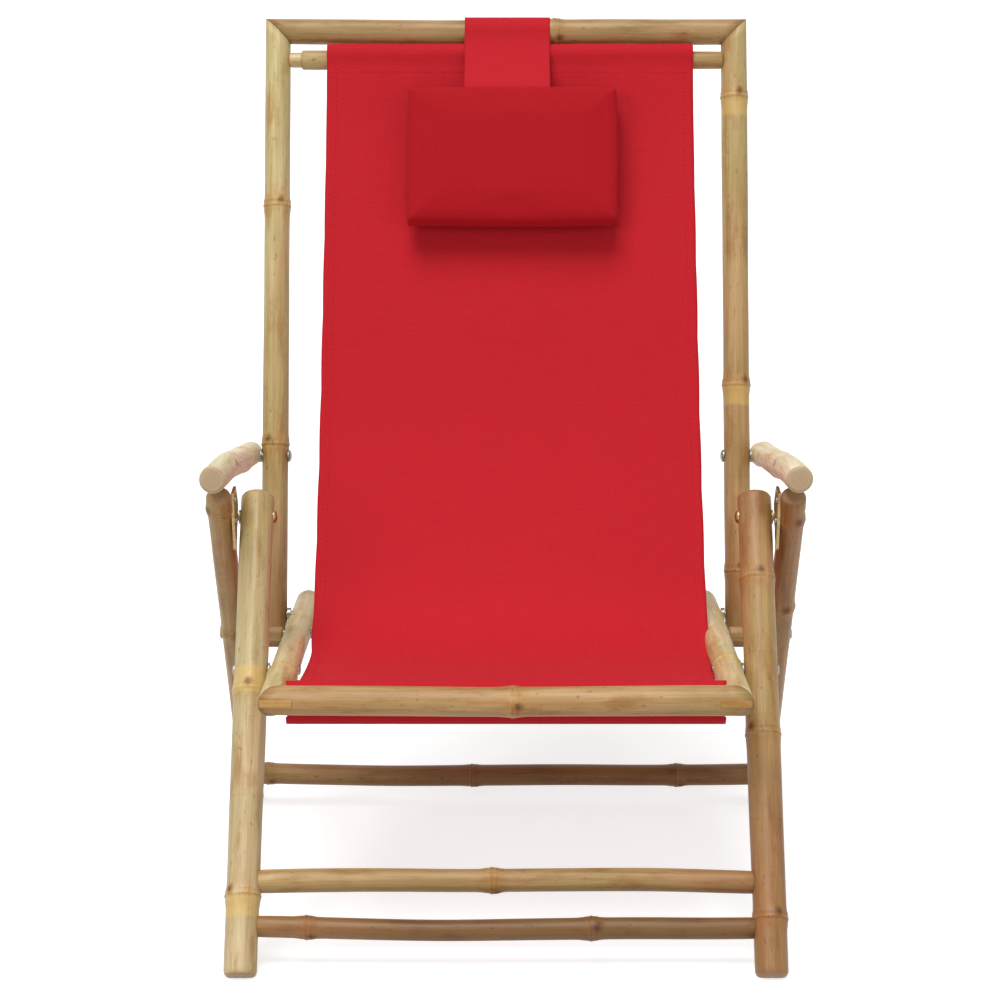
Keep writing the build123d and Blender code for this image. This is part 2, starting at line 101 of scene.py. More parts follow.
class Nodes:
    """Short names for the nodes of a material or a world."""

    def __init__(self, owner):
        owner.use_nodes = True
        self.owner = owner
        self.tree = owner.node_tree
        self.bsdf = self.tree.nodes.get("Principled BSDF")

    def add(self, kind, sockets=None, **values):
        """Adds a node, sets its values and feeds its sockets."""
        node = self.tree.nodes.new(kind)
        for key, value in values.items():
            setattr(node, key, value)
        for key, value in (sockets or {}).items():
            self.feed(node.inputs[key], value)
        return node

    def feed(self, socket, value):
        """Sets a socket to a number or a colour, or links another node's output to it."""
        if isinstance(value, (int, float)):
            socket.default_value = value
        elif isinstance(value, tuple):
            socket.default_value = (*value, 1)
        else:
            self.tree.links.new(value, socket)

    def shade(self, name, value):
        self.feed(self.bsdf.inputs[name], value)

    def attribute(self, name, output="Fac"):
        return self.add("ShaderNodeAttribute", attribute_name=name).outputs[output]

    def noise(self, vector, scale, detail=3.0, rough=0.55):
        sockets = {"Vector": vector, "Scale": scale, "Detail": detail, "Roughness": rough}
        return self.add("ShaderNodeTexNoise", sockets).outputs["Fac"]

    def scaled(self, vector, size):
        node = self.add("ShaderNodeMapping", {"Vector": vector})
        node.inputs["Scale"].default_value = size
        return node.outputs["Vector"]

    def ramp(self, value, start, end):
        """Grey ramp between two stops, as (position, level)."""
        node = self.add("ShaderNodeValToRGB", {"Fac": value})
        for element, (position, level) in zip(node.color_ramp.elements, (start, end)):
            element.position = position
            element.color = (level, level, level, 1)
        return node.outputs["Color"]

    def math(self, op, a, b=0.0):
        return self.add("ShaderNodeMath", {0: a, 1: b}, operation=op).outputs["Value"]

    def times(self, a, b):
        return self.math("MULTIPLY", a, b)

    def plus(self, a, b):
        return self.math("ADD", a, b)

    def far(self, value, scale):
        """Distance from 0, scaled."""
        return self.times(self.math("ABSOLUTE", value), scale)

    def mix(self, fac, a, b, blend="MIX"):
        sockets = dict(zip(MIX_INPUTS, (fac, a, b)))
        return self.add("ShaderNodeMix", sockets, data_type="RGBA", blend_type=blend).outputs[MIX_OUTPUT]

    def stain(self, fac, colour, factor):
        """Multiplies a colour by a factor where fac is 1."""
        return self.mix(fac, colour, self.mix(1.0, colour, factor, "MULTIPLY"))

    def bump(self, height, distance, strength):
        sockets = {"Height": height, "Distance": distance, "Strength": strength}
        self.shade("Normal", self.add("ShaderNodeBump", sockets).outputs["Normal"])


YELLOW = srgb(219, 184, 104)
CUT_END = srgb(160, 127, 92)
RUST = srgb(96, 70, 46)


def weathered(m, pole, tint, streak, dots):
    """The pole's tone with greenish parts, streaks, wide light and dark bands, blotches and dots."""
    green = m.noise(m.scaled(pole, (1, 1, 0.45)), 22.0)
    wide = m.noise(m.scaled(pole, (1, 1, 0.05)), 150.0)
    blotch = m.noise(m.scaled(pole, (1, 1, 0.3)), 60.0, 5.0, 0.65)
    colour = m.stain(m.ramp(green, (0.4, 0.0), (0.62, 0.9)), tint, (0.86, 0.93, 0.82))
    colour = m.stain(m.ramp(streak, (0.3, 0.85), (0.66, 0.0)), colour, (0.76, 0.72, 0.66))
    colour = m.stain(m.ramp(wide, (0.34, 0.8), (0.6, 0.0)), colour, (0.8, 0.68, 0.54))
    colour = m.stain(m.ramp(wide, (0.58, 0.0), (0.8, 0.8)), colour, (1.16, 1.16, 1.14))
    colour = m.stain(m.ramp(blotch, (0.51, 0.0), (0.68, 0.85)), colour, (0.74, 0.57, 0.4))
    return m.stain(dots, colour, (0.46, 0.32, 0.2))


def ringed(m, pole, colour, wobble):
    """At a node: a brown halo, a pale swelling with a thin broken line on it, and a second line beside it."""
    ring = m.attribute("ring")
    patchy = m.ramp(m.noise(pole, 75.0, 4.0), (0.36, 0.12), (0.62, 1.0))
    halo = m.times(m.ramp(m.far(m.plus(ring, wobble), 30.0), (0.1, 1.0), (0.75, 0.0)), patchy)
    edge = m.far(ring, 100.0)
    beside = m.far(m.math("SUBTRACT", ring, 0.0055), 100.0)
    colour = m.stain(m.times(halo, 0.8), colour, (0.95, 0.8, 0.56))
    colour = m.stain(m.ramp(edge, (0.1, 0.6), (0.42, 0.0)), colour, (1.15, 1.12, 1.0))
    line = m.times(m.ramp(edge, (0.03, 0.6), (0.12, 0.0)), patchy)
    colour = m.stain(line, colour, (0.5, 0.38, 0.27))
    line = m.times(m.ramp(beside, (0.03, 0.4), (0.1, 0.0)), patchy)
    return m.stain(line, colour, (0.6, 0.47, 0.35))


def banded(m, colour, wobble):
    """Yellow bands with a wavy edge."""
    inside = m.plus(m.attribute("band"), m.times(wobble, 0.8))
    inside = m.plus(m.times(inside, 250.0), 0.5)
    return m.mix(m.ramp(inside, (0.0, 0.0), (1.0, 0.7)), colour, m.mix(0.35, YELLOW, colour))


def knotted(m, pole, colour):
    """Branch scars: a brown spot with a torn edge and a darker middle."""
    knot = m.attribute("knot")
    torn = m.times(m.math("SUBTRACT", m.noise(pole, 320.0), 0.5), 0.9)
    bud = m.plus(knot, m.times(torn, knot))
    colour = m.stain(m.ramp(bud, (0.16, 0.0), (0.55, 0.75)), colour, (0.66, 0.52, 0.38))
    return m.stain(m.ramp(bud, (0.55, 0.0), (0.85, 0.9)), colour, (0.46, 0.34, 0.24))


def bamboo_material():
    """Bamboo, from attributes of its points: place on the pole, tone, node, band, branch scar and cut end."""
    m = Nodes(bpy.data.materials.new("bamboo"))
    pole = m.attribute("pole", "Vector")
    tint = m.attribute("tint", "Color")
    streak = m.noise(m.scaled(pole, (1, 1, 0.02)), 900.0, 4.0, 0.6)
    spots = m.noise(m.scaled(pole, (1, 1, 0.4)), 300.0, 2.0)
    dots = m.times(m.ramp(spots, (0.67, 0.0), (0.74, 1.0)), 0.65)
    wobble = m.times(m.math("SUBTRACT", m.noise(pole, 90.0), 0.5), 0.007)
    colour = weathered(m, pole, tint, streak, dots)
    colour = ringed(m, pole, colour, wobble)
    colour = banded(m, colour, wobble)
    colour = knotted(m, pole, colour)
    face = m.mix(0.18, CUT_END, tint)
    face = m.stain(m.ramp(m.noise(pole, 700.0, 2.0), (0.4, 0.0), (0.7, 0.7)), face, (0.8, 0.74, 0.66))
    m.shade("Base Color", m.mix(m.attribute("cap"), colour, face))
    m.shade("Roughness", m.plus(m.times(streak, 0.22), 0.36))
    m.shade("Specular IOR Level", 0.36)
    m.shade("Coat Weight", 0.06)
    m.shade("Coat Roughness", 0.25)
    m.bump(m.plus(streak, m.times(dots, -0.5)), 0.0006, 0.45)
    return m.owner


def cloth_material(name, base, pitch, contrast):
    """Plain woven cloth with threads both ways, slubs and a soft sheen. pitch is the threads' spacing."""
    m = Nodes(bpy.data.materials.new(name))
    weave = m.attribute("weave", "Vector")
    split = m.add("ShaderNodeSeparateXYZ", {"Vector": weave})
    turn = 2 * pi / pitch
    jitter = m.times(m.noise(weave, 60.0, 2.0), 0.0012)
    warp = m.math("SINE", m.times(m.plus(split.outputs["X"], jitter), turn))
    weft = m.math("SINE", m.times(m.plus(split.outputs["Y"], jitter), turn))
    cross = m.times(warp, weft)
    slub_a = m.noise(m.scaled(weave, (1, 0.05, 1)), 620.0)
    slub_b = m.noise(m.scaled(weave, (0.05, 1, 1)), 620.0)
    slub = m.plus(slub_a, slub_b)
    light = tuple(min(1.0, c * (1 + contrast)) for c in base)
    dark = tuple(c * (1 - contrast) for c in base)
    colour = m.mix(m.ramp(m.times(slub, 0.5), (0.36, 0.0), (0.64, 1.0)), dark, light)
    colour = m.mix(m.ramp(cross, (0.0, 0.22), (0.6, 0.0)), colour, dark)
    colour = m.mix(m.ramp(m.noise(weave, 9.0), (0.35, 0.16), (0.65, 0.0)), colour, dark)
    m.shade("Base Color", colour)
    m.shade("Roughness", m.plus(m.times(slub_a, 0.2), 0.68))
    m.shade("Specular IOR Level", 0.18)
    m.shade("Sheen Weight", 0.06)
    m.shade("Sheen Roughness", 0.45)
    m.shade("Sheen Tint", (1.0, 0.35, 0.35))
    puckers = m.noise(m.scaled(weave, (1, 0.45, 1)), 16.0, 4.0, 0.5)
    height = m.plus(m.times(cross, 0.35), m.times(puckers, 9.0))
    m.bump(m.plus(height, slub), 0.0004, 0.5)
    return m.owner


def steel_material(name, base, rough):
    """Worn metal with dark scuffs and a few dull brown places."""
    m = Nodes(bpy.data.materials.new(name))
    where = m.add("ShaderNodeTexCoord").outputs["Object"]
    wear = m.noise(where, 260.0, 4.0, 0.6)
    dull = m.noise(where, 60.0)
    colour = m.mix(m.ramp(wear, (0.45, 0.0), (0.72, 0.7)), base, tuple(c * 0.45 for c in base))
    m.shade("Base Color", m.mix(m.ramp(dull, (0.5, 0.0), (0.8, 0.35)), colour, RUST))
    m.shade("Metallic", 1.0)
    m.shade("Roughness", m.plus(m.times(wear, 0.3), rough))
    m.bump(wear, 0.0002, 0.25)
    return m.owner


BAMBOO = bamboo_material()
CLOTH = cloth_material("red_cloth", srgb(191, 26, 38), 0.0015, 0.08)
PAD = cloth_material("pillow_cloth", srgb(172, 11, 24), 0.0011, 0.03)
THREAD = cloth_material("red_thread", srgb(202, 40, 52), 0.0006, 0.05)
STEEL = steel_material("steel", srgb(150, 146, 140), 0.22)
BRASS = steel_material("plated_steel", srgb(176, 150, 104), 0.24)


def add_object(name, data):
    """Adds an object to the scene."""
    obj = bpy.data.objects.new(name, data)
    scene.collection.objects.link(obj)
    return obj


def new_object(name, verts, faces, material, smooth=True):
    """Adds a mesh object to the scene."""
    mesh = bpy.data.meshes.new(name)
    mesh.from_pydata([tuple(v) for v in verts], [], faces)
    mesh.update()
    mesh.materials.append(material)
    mesh.polygons.foreach_set("use_smooth", [smooth] * len(mesh.polygons))
    return add_object(name, mesh)


def set_attribute(obj, name, kind, values):
    """Adds a point attribute that a material reads."""
    data = obj.data.attributes.new(name, kind, "POINT")
    key = {"FLOAT": "value", "FLOAT_VECTOR": "vector", "FLOAT_COLOR": "color"}[kind]
    data.data.foreach_set(key, np.asarray(values, np.float32).ravel())


def join_rings(starts, count):
    """Faces between rings of count points that begin at the given numbers."""
    faces = []
    for p, q in zip(starts, starts[1:]):
        for i in range(count):
            j = (i + 1) % count
            faces.append((p + i, p + j, q + j, q + i))
    return faces


def tube(starts, count):
    """Faces of a row of rings, closed at both ends."""
    first = tuple(starts[0] + i for i in reversed(range(count)))
    last = tuple(starts[-1] + i for i in range(count))
    return join_rings(starts, count) + [first, last]


# Bamboo poles: slight taper and crook, ridged nodes with a branch scar, rounded ends.
AROUND = 44  # points round a pole
RING_STEP = 0.012  # between the rings of a plain stretch
# Extra rings at a node, in mm from it.
NODE_RINGS = (-14, -10, -7, -5, -3.6, -2.6, -1.8, -1.2, -0.6, 0, 0.6, 1.2, 2, 3, 4.2, 6, 9, 13, 18)
NODE_CLEAR = 0.004  # no such ring nearer to an end
END_ROUND = 0.0042  # radius of an end's edge
END_TURNS = (90, 75, 60, 45, 30, 15)  # degrees round that edge
LID_SHARES, LID_CROWN = (0.8, 0.5, 0.22), 0.0003  # rings on an end's face, and its height
MITRE_REACH = 0.045  # how far from a mitre the rings still lean
TOE_LENGTH, TOE_STEP, TOE_LEAN = 0.045, 0.0012, 0.55  # fine rings at a foot's steep cut, and its slope
GRAIN_SHIFT = 1.37  # per seed, so that no two poles share their grain
# Heights on a pole's surface at a node: swelling, ridge, second ridge, groove and branch scar.
SWELL, RIDGE, LOW_RIDGE, GROOVE, SCAR = 0.0017, 0.0005, 0.0003, 0.00035, 0.0012
# Shares of the radius: a pole is thinner than its solid between the nodes, oval and a little uneven.
THIN, OVAL, UNEVEN, LUMPY = 0.972, 0.008, 0.01, 0.006
MM = 1000


class Pole:
    """The rings of a bamboo pole from a to b, and what its material reads at their points.

    nodes are distances from a. cut_a and cut_b are mitre planes, as (point, normal).
    toe is the Y on the floor where a steep cut across the front of the foot starts.
    end_a and end_b are the ends' edge radii. swell scales the nodes.
    patches are yellow bands, as (distance from a, half length).
    """

    def __init__(self, a, b, r, nodes, seed, cut_a=None, cut_b=None, taper=0.03, crook=0.0022, toe=None,
                 end_a=END_ROUND, end_b=END_ROUND, swell=1.0, patches=()):
        self.a, self.r, self.nodes, self.seed = a, r, nodes, seed
        self.cut_a, self.cut_b, self.toe, self.end_a, self.end_b = cut_a, cut_b, toe, end_a, end_b
        self.crook, self.swell, self.patches = crook, swell, patches
        self.length = (b - a).length
        self.d = (b - a).normalized()
        self.lies_across = abs(self.d.x) >= 0.5
        u = Vector((0, 1, 0)) if self.lies_across else Vector((1, 0, 0))
        self.u = (u - self.d * u.dot(self.d)).normalized()
        self.v = self.d.cross(self.u)
        rnd = random.Random(seed)
        self.flip = rnd.choice((-1, 1))
        self.taper = taper * self.flip
        self.oval = rnd.uniform(0, pi)
        facing = atan2(-self.v.y, -self.u.y)  # the angle round the pole that points to the chair's front
        self.scars = [(n, facing + rnd.uniform(-1.0, 1.0), rnd.uniform(0.5, 1.0)) for n in nodes]
        self.rows, self.verts = [], []
        self.local, self.places, self.ring, self.cap, self.knot, self.band = [], [], [], [], [], []
        self.add_rings()

    def ring_places(self):
        """Distances from a of the rings between the ends, closer together at the nodes and at a toe."""
        places = set(np.linspace(0.0, self.length, max(8, int(self.length / RING_STEP))).tolist())
        for n in self.nodes:
            near = [n + off / MM for off in NODE_RINGS]
            places.update(s for s in near if NODE_CLEAR < s < self.length - NODE_CLEAR)
        if self.toe is not None:
            places.update(np.arange(0.0, TOE_LENGTH, TOE_STEP).tolist())
        low = -1.0 if self.cut_a else self.end_a
        high = self.length + 1.0 if self.cut_b else self.length - self.end_b
        return sorted(s for s in places if low < s < high)

    def scar_share(self, s, angle, n, turn):
        """1 on the branch scar of node n, fading to 0 round it."""
        off = (s - n) * MM
        bend = atan2(sin(angle - turn), cos(angle - turn)) * self.r * MM
        return bell(off - 6, 5.5) * bell(bend, 4.6)

    def radius(self, s, angle):
        r = self.r
        t = s / self.length - 0.5
        value = r * (1 - self.taper * t) * (THIN + OVAL * cos(2 * angle + self.oval))
        value += r * (UNEVEN * sin(s * 19 + self.seed) + LUMPY * sin(s * 47 + angle + self.seed))
        for n, turn, size in self.scars:
            off = (s - n) * MM
            value += self.swell * size * SWELL * bell(off, 8.0)
            value += RIDGE * bell(off, 1.9) + LOW_RIDGE * bell(off - 5.5, 1.9) - GROOVE * bell(off + 2.2, 1.2)
            value += SCAR * size * self.scar_share(s, angle, n, turn)
        return min(value, r * 1.1 + 0.0006)

    def sway(self, s):
        """How far the crook takes the pole's middle off the straight line."""
        t = s / self.length
        wave = self.crook * (sin(pi * t) * self.flip + 0.35 * sin(3 * pi * t + self.seed))
        return (self.v + self.u * (0.4 if self.lies_across else 0.0)) * wave

    def place_on_axis(self, s, angle, out):
        """Place along the axis: near a mitre the rings lean into its plane."""
        place = s
        if self.cut_a:
            point, normal = self.cut_a
            low = (point - self.a - out * self.radius(0.0, angle)).dot(normal) / self.d.dot(normal)
            place += low * max(0.0, 1 - s / MITRE_REACH)
        if self.cut_b:
            point, normal = self.cut_b
            high = (point - self.a - out * self.radius(self.length, angle)).dot(normal) / self.d.dot(normal)
            place += (high - self.length) * max(0.0, 1 - (self.length - s) / MITRE_REACH)
        return place

    def add_point(self, s, angle, shrink, cap):
        out = self.u * cos(angle) + self.v * sin(angle)
        place = self.place_on_axis(s, angle, out)
        r = max(self.radius(s, angle) - shrink, 0.0)
        self.verts.append(self.a + self.d * place + self.sway(s) + out * r)
        self.local.append((cos(angle) * r, sin(angle) * r, place + self.seed * GRAIN_SHIFT))
        self.places.append(place)
        self.ring.append(min((s - n for n in self.nodes), key=abs, default=1.0))
        self.knot.append(sum(self.scar_share(s, angle, n, turn) for n, turn, _ in self.scars))
        self.cap.append(cap)
        self.band.append(max((half - abs(s - centre) for centre, half in self.patches), default=-1.0))

    def add_ring(self, s, cap, shrink):
        """Adds a ring. shrink is a function of the angle."""
        self.rows.append(len(self.verts))
        for i in range(AROUND):
            angle = 2 * pi * i / AROUND
            self.add_point(s, angle, shrink(angle), cap)

    def add_edge(self, end, way, size):
        """Rings round an end's edge. way is 1 at a and -1 at b."""
        for turn in END_TURNS[::way]:
            phi = radians(turn)
            place = end + way * size * (1 - sin(phi))
            cap = 0.0 if turn < 40 else 0.9
            self.add_ring(place, cap, lambda angle: size * (1 - cos(phi)))

    def add_lid(self, end, way, size):
        """Rings on an end's face."""
        for share in LID_SHARES[::-way]:

            def shrink(angle):
                edge = self.radius(end, angle)
                return edge - (edge - size) * share

            self.add_ring(end - way * LID_CROWN * (1 - share), 1.0, shrink)

    def add_rings(self):
        if not self.cut_a:
            self.add_lid(0.0, 1, self.end_a)
            self.add_edge(0.0, 1, self.end_a)
        for s in self.ring_places():
            self.add_ring(s, 0.0, lambda angle: 0.0)
        if not self.cut_b:
            self.add_edge(self.length, -1, self.end_b)
            self.add_lid(self.length, -1, self.end_b)

    def cut_level(self):
        """Cuts off what would reach below the floor."""
        self.verts = [p - self.d * (min(p.z, 0.0) / self.d.z) for p in self.verts]

    def cut_toe(self):
        """Cuts the front of the foot off at a slope."""
        ahead = [max(self.toe - TOE_LEAN * p.z - p.y, 0.0) for p in self.verts]
        self.cap = [1.0 if far > 0 else cap for far, cap in zip(ahead, self.cap)]
        slope = self.d.y + TOE_LEAN * self.d.z
        self.verts = [p + self.d * far / slope for far, p in zip(ahead, self.verts)]

    def faces(self):
        return tube(self.rows, AROUND)

    def colours(self, tints):
        """Tones of the points, from tones at even steps from a to b."""
        share = np.array(self.places) / self.length
        stops = np.linspace(0, 1, len(tints))
        parts = [np.interp(share, stops, [tone[k] for tone in tints]) for k in range(3)]
        return np.stack(parts + [np.ones(len(share))], axis=1)


def dress_bamboo(obj, body, local, colours, **numbers):
    """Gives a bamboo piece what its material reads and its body."""
    set_attribute(obj, "pole", "FLOAT_VECTOR", local)
    set_attribute(obj, "tint", "FLOAT_COLOR", colours)
    for name, values in numbers.items():
        set_attribute(obj, name, "FLOAT", values)
    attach(obj, body)


def pole(name, a, b, r, body, nodes, tints, seed, ground=False, **shape):
    """Adds a pole that rides on a body. With ground, its foot stands flat on the floor."""
    p = Pole(a, b, r, nodes, seed, **shape)
    if ground:
        p.cut_level()
    if p.toe is not None:
        p.cut_toe()
    obj = new_object(name, p.verts, p.faces(), BAMBOO)
    dress_bamboo(obj, body, p.local, p.colours(tints), ring=p.ring, cap=p.cap, knot=p.knot, band=p.band)
    return obj


X_DIR = Vector((1, 0, 0))
SEAT_DIR = (at(0, SEAT_REAR) - at(0, SEAT_FRONT)).normalized()
BACK_DIR = (at(0, BACK_TOP) - at(0, BACK_LOW)).normalized()
FRONT_DIR = (at(0, FRONT_TOP) - at(0, FRONT_FOOT)).normalized()
REAR_DIR = (at(0, REAR_TOP) - at(0, REAR_FOOT)).normalized()

PALE = srgb(220, 200, 152)
STRAW = srgb(200, 172, 122)
TAN = srgb(190, 154, 106)
BROWN = srgb(164, 120, 76)
# Dark brown with painted shade in it: the shade that the upper rung and the seat cast on the lower front
# rung.
PAINTED_SHADE_BROWN = srgb(128, 92, 50)
RAIL_TONE = srgb(196, 153, 106)
TOP_TONE = srgb(180, 146, 98)
CREAM = srgb(244, 232, 200)
ASH = srgb(207, 185, 144)
HONEY = srgb(198, 150, 84)

# Each pole's nodes as distances from its first end, its tones from end to end, and its seed.
LOOKS = {
    "front_leg_left": ((0.08, 0.292), (ASH, ASH, ASH, ASH, STRAW), 3),
    "front_leg_right": ((0.057, 0.246, 0.413), (BROWN, BROWN, TAN, TAN, BROWN), 4),
    "rear_leg_left": ((0.055, 0.3, 0.494), (TAN, TAN), 5),
    "rear_leg_right": ((0.135, 0.345, 0.48), (TAN, BROWN), 6),
    "seat_rail_left": ((0.095, 0.33), (PALE, PALE), 7),
    "seat_rail_right": ((0.13, 0.37), (PALE, PALE), 8),
    "back_pole_left": ((0.228, 0.5), (BROWN, STRAW, STRAW, PALE, PALE), 9),
    "back_pole_right": ((0.085, 0.295, 0.625), (BROWN, TAN, TAN, STRAW, STRAW), 10),
    "armrest_left": ((0.245,), (CREAM, CREAM), 11),
    "armrest_right": ((0.16, 0.325), (CREAM, CREAM), 12),
    "front_rung_upper": ((0.232,), (STRAW, TOP_TONE, TOP_TONE, BROWN), 13),
    # The lower front rung keeps its own brown at its left end; further along, its colour holds painted shade.
    "front_rung_lower": ((0.05, 0.33), (BROWN, PAINTED_SHADE_BROWN, PAINTED_SHADE_BROWN, PAINTED_SHADE_BROWN), 14),
    "rear_rung": ((0.01, 0.245, 0.48), (TAN, BROWN, BROWN, BROWN), 15),
    "seat_rear_rail": ((0.15,), (TAN, TAN), 16),
    "sling_front_rod": ((), (STRAW, STRAW), 17),
    "sling_top_rod": ((), (STRAW, TAN), 7),
    "seat_front_rail": ((0.232,), (RAIL_TONE, TAN), 19),
    "back_top_rail": ((0.315,), (TOP_TONE, TOP_TONE), 20),
}
PATCHES = {
    "front_leg_left": ((0.068, 0.01), (0.302, 0.014)),
    "back_pole_right": ((0.283, 0.011), (0.612, 0.009)),
}
TOP_SET = 0.004  # the front legs' rounded tops stop this much short of their axes' ends
REAR_RISE = 0.001  # and the rear legs' tops pass theirs by this much
FRONT_TOE = -0.3365  # where the steep cut across the front of the front feet starts
ARM_TURN = 0.0055  # the armrests' rear ends stand this much further in
RAIL_CROOK = 0.0008  # mitred rails are nearly straight
# Wooden plugs in the armrests' inner sides, facing up by PLUG_LEAN.
PLUG_Y, PLUG_LEAN, PLUG_R, PLUG_LENGTH, PLUG_PROUD = -0.05, 0.4, 0.004, 0.008, 0.0006
PLUG_EDGE, PLUG_SPAN, PLUG_SEED = 0.0008, 0.008, 25


def frame_pole(node, a, b, r, body, **shape):
    """A pole in place of its node's solid."""
    obj = pole(f"{node}_bamboo", a, b, r, body, *LOOKS[node], patches=PATCHES.get(node, ()), **shape)
    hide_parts(node)
    return obj


def cross_pole(node, p, half, r, body, **shape):
    """A pole across the chair, as long as half to each side of the middle."""
    frame_pole(node, at(-half, p), at(half, p), r, body, **shape)


def mitre(p, x, inward):
    """Plane that cuts a pole at a corner of a frame. inward runs from the corner along the frame's side."""
    return at(x, p), (X_DIR * copysign(1, x) + inward).normalized()


def arm_plug(s, tag, arm):
    """A plug in the inner side of an armrest."""
    inward = Vector((-s, 0, PLUG_LEAN)).normalized()
    near = [v.co for v in arm.data.vertices if abs(v.co.y - PLUG_Y) < PLUG_SPAN]
    top = max(near, key=lambda co: co.dot(inward)) + inward * PLUG_PROUD
    plug = pole(f"arm_plug_{tag}_bamboo", top - inward * PLUG_LENGTH, top, PLUG_R, f"armrest_{tag}", (),
                (ASH, ASH), PLUG_SEED, crook=0.0, end_a=PLUG_EDGE, end_b=PLUG_EDGE)
    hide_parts(f"armrest_{tag}")


for s, tag in SIDES:
    seat_x, leg_x, arm_x = s * SEAT_X, s * LEG_X, s * ARM_X
    frame_pole(f"front_leg_{tag}", at(leg_x, FRONT_FOOT), at(leg_x, FRONT_TOP) - FRONT_DIR * TOP_SET, FRONT_R,
               "front_legs", taper=0.06, ground=True, toe=FRONT_TOE, end_a=0.007, end_b=0.0075)
    frame_pole(f"rear_leg_{tag}", at(arm_x, REAR_FOOT), at(arm_x, REAR_TOP) + REAR_DIR * REAR_RISE, REAR_R,
               "rear_legs", ground=True, end_b=0.0065)
    frame_pole(f"seat_rail_{tag}", at(seat_x, SEAT_FRONT), at(seat_x, SEAT_REAR), FRAME_R, "seat",
               cut_a=mitre(SEAT_FRONT, seat_x, SEAT_DIR), crook=RAIL_CROOK)
    frame_pole(f"back_pole_{tag}", at(leg_x, BACK_LOW), at(leg_x, BACK_TOP), FRAME_R, "back",
               cut_b=mitre(BACK_TOP, leg_x, -BACK_DIR), crook=0.0018)
    armrest = frame_pole(f"armrest_{tag}", at(arm_x, ARM_FRONT), at(arm_x - s * ARM_TURN, ARM_REAR), ARM_R,
                         f"armrest_{tag}", crook=-0.003, swell=0.4)
    arm_plug(s, tag, armrest)

RUNG_UPPER = along(FRONT_FOOT, FRONT_TOP, 0.078)
RUNG_LOWER = along(FRONT_FOOT, FRONT_TOP, 0.041)
RUNG_REAR = along(REAR_FOOT, REAR_TOP, 0.038)
SEAT_BACK = along(SEAT_FRONT, SEAT_REAR, 0.237)
# The sling's top rod ends in a thinner peg at the left, which reaches into it.
ROD_END, PEG_END, PEG_IN = 0.2475, 0.2325, 0.23

cross_pole("front_rung_upper", RUNG_UPPER, 0.2465, 0.012, "front_legs")
cross_pole("front_rung_lower", RUNG_LOWER, 0.2465, 0.011, "front_legs")
cross_pole("rear_rung", RUNG_REAR, 0.2845, 0.0125, "rear_legs")
cross_pole("seat_rear_rail", SEAT_BACK, 0.2135, 0.012, "seat")
cross_pole("sling_front_rod", ROD_FRONT, 0.2125, 0.0105, "seat")
frame_pole("sling_top_rod", at(-PEG_END, ROD_TOP), at(ROD_END, ROD_TOP), 0.0107, "back",
           taper=0.1, crook=0.0, end_a=0.002)
peg = pole("sling_rod_peg_bamboo", at(-ROD_END, ROD_TOP), at(-PEG_IN, ROD_TOP), 0.009, "back", (),
           (PALE, PALE), 18, crook=0.0)
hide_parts("sling_top_rod")
cross_pole("seat_front_rail", SEAT_FRONT, SEAT_X, FRAME_R, "seat", crook=RAIL_CROOK,
           cut_a=mitre(SEAT_FRONT, -SEAT_X, SEAT_DIR), cut_b=mitre(SEAT_FRONT, SEAT_X, SEAT_DIR))
cross_pole("back_top_rail", BACK_TOP, LEG_X, FRAME_R, "back", crook=RAIL_CROOK,
           cut_a=mitre(BACK_TOP, -LEG_X, -BACK_DIR), cut_b=mitre(BACK_TOP, LEG_X, -BACK_DIR))

# Wooden keys let into the seat's front corners, KEY_HALF thick to each side of the seat's plane.
KEY_HALF, KEY_PROUD, KEY_REACH, KEY_NOSE = 0.0036, 0.0005, 0.034, 0.006
KEY_HEEL, KEY_TONGUE, KEY_EDGE = 0.004, 0.018, 0.0007
SEAT_UP = X_DIR.cross(SEAT_DIR)


def key_plan():
    """Outline of a key in the seat's plane, as (out, back): two tongues along the rails and a round nose."""
    out = FRAME_R + KEY_PROUD
    tip = out - KEY_NOSE
    turns = np.linspace(0, pi / 2, 7)
    nose = [(tip + KEY_NOSE * cos(k), -tip - KEY_NOSE * sin(k)) for k in turns]
    inner = [(out - KEY_REACH, -out), (out - KEY_REACH, -KEY_HEEL), (KEY_HEEL, KEY_TONGUE)]
    return [(out, -out + KEY_REACH)] + nose + inner


def corner_key(s, tag):
    plan = key_plan()
    corner = at(s * SEAT_X, SEAT_FRONT)
    verts = []
    for level in (-KEY_HALF, KEY_HALF):
        verts += [corner + X_DIR * s * across + SEAT_DIR * back + SEAT_UP * level for across, back in plan]
    count = len(plan)
    faces = tube((0, count), count)
    if s > 0:
        faces = [face[::-1] for face in faces]
    obj = new_object(f"corner_key_{tag}", verts, faces, BAMBOO, smooth=False)
    edge = obj.modifiers.new("edge", "BEVEL")
    edge.width = KEY_EDGE
    edge.segments = 2
    total = len(verts)
    local = [(v.y, v.z, v.x) for v in verts]
    dress_bamboo(obj, "seat", local, [(*HONEY, 1)] * total, ring=[1.0] * total, cap=[0.0] * total,
                 knot=[0.0] * total, band=[-1.0] * total)
    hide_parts("seat_front_rail")


for s, tag in SIDES:
    corner_key(s, tag)


# Hardware: turned shapes about X, mirrored to both sides.
TURN_SIDES = 28
SPLIT_ANGLE = 32  # degrees; sharper edges are shaded as edges
SHANK_R, SHANK_TIP = 0.004, 0.0034
DOME_R, DOME_RISE, DOME_RIM = 0.007, 0.0034, 0.0008
DOME_TURNS = (88, 70, 52, 36, 20, 8)
WASHER_R = 0.0073
LOW_HEAD = ((0.0, 0.0056), (0.001, 0.0053), (0.0017, 0.004), (0.002, 0.0022), (0.0021, 0.0005))


